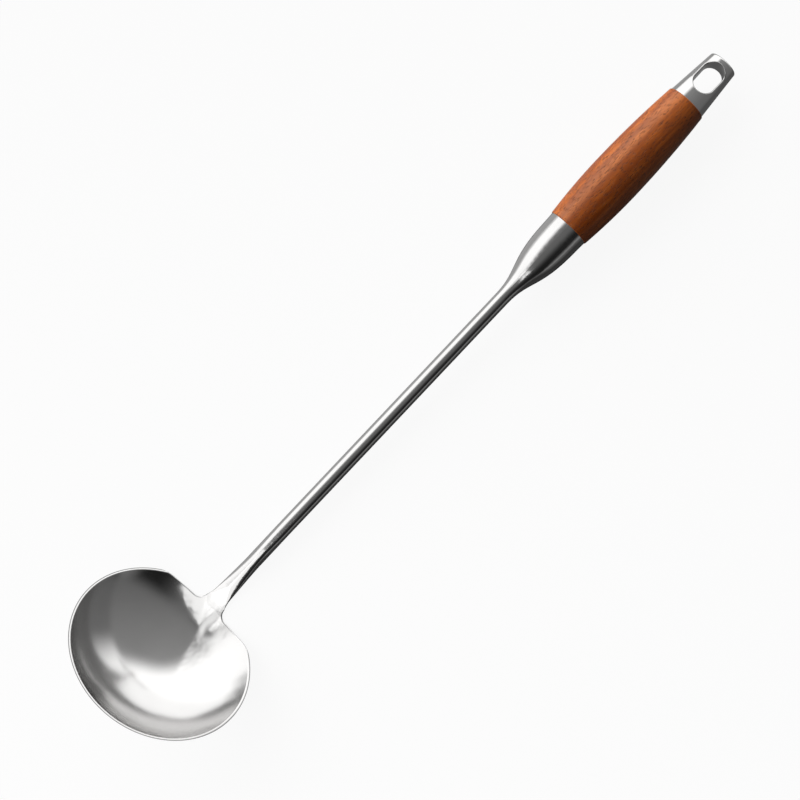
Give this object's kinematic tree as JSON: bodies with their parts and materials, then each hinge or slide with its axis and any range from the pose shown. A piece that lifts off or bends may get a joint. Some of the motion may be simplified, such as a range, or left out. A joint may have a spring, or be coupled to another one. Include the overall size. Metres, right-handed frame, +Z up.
{
  "type": "wok ladle",
  "caption": "Long-handled wok ladle lying on its back: shallow round steel bowl, tubular shank with flared ferrule, wooden grip and steel end cap with a hanging slot.",
  "frame": {"origin": "under the middle of the lying ladle's bounding box, on the surface that it rests on", "axes": "+X from the bowl towards the end cap, +Z up, away from the surface, +Y across the bowl; the ladle is symmetrical about the XZ plane"},
  "size_m": [0.4632, 0.1, 0.0721],
  "materials": {
    "bowl_steel": "satin",
    "shank_steel": "satin",
    "plug_steel": "machined",
    "rod_steel": "machined",
    "grip_wood": "oiled",
    "cap_steel": "satin"
  },
  "bodies": {
    "root": {"ladle_bowl": "bowl_steel", "shank": "shank_steel", "ferrule_plug": "plug_steel", "tie_rod": "rod_steel", "wooden_grip": "grip_wood", "end_cap": "cap_steel"}
  },
  "joints": []
}
